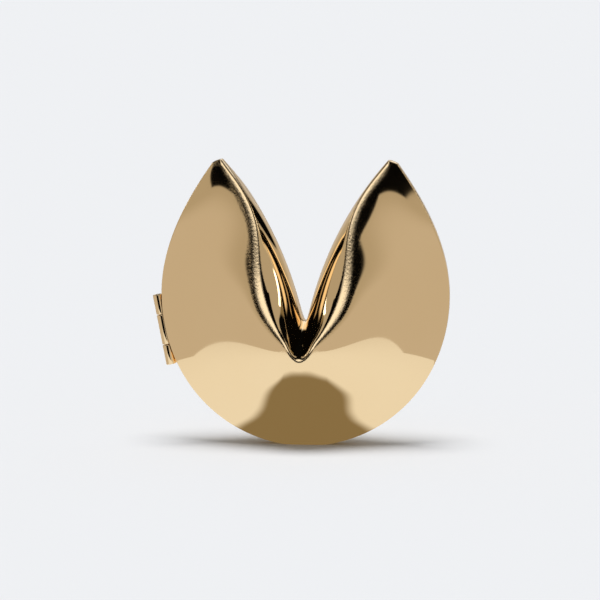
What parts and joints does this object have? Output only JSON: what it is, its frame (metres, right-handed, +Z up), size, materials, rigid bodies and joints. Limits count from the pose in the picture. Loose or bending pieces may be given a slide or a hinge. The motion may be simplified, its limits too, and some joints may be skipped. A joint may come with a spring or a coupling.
{
  "type": "fortune cookie keepsake box",
  "caption": "Polished metal keepsake box shaped like a folded fortune cookie, standing on its round rim, with a barrel hinge at the side that joins its hollow front and back shells.",
  "frame": {"origin": "on the surface that the box stands on, below the middle of its bounding box", "axes": "+X to the right seen from the front, -Y towards the viewer of the front face, +Z up; the shells meet near the plane Y = 0"},
  "size_m": [0.0661, 0.0274, 0.0634],
  "materials": {
    "gold_plate": "polished gold plate",
    "pin": "drawn brass wire"
  },
  "bodies": {
    "base": {"back_shell": "gold_plate", "hinge_pin": "pin"},
    "lid": {"front_shell": "gold_plate"}
  },
  "joints": [
    {"name": "lid_hinge", "type": "hinge", "parent": "base", "child": "lid", "pos_m": [-0.03047, 0, 0.02521], "axis": [0.1888, 0, -0.982], "range_deg": [0, 120]}
  ]
}
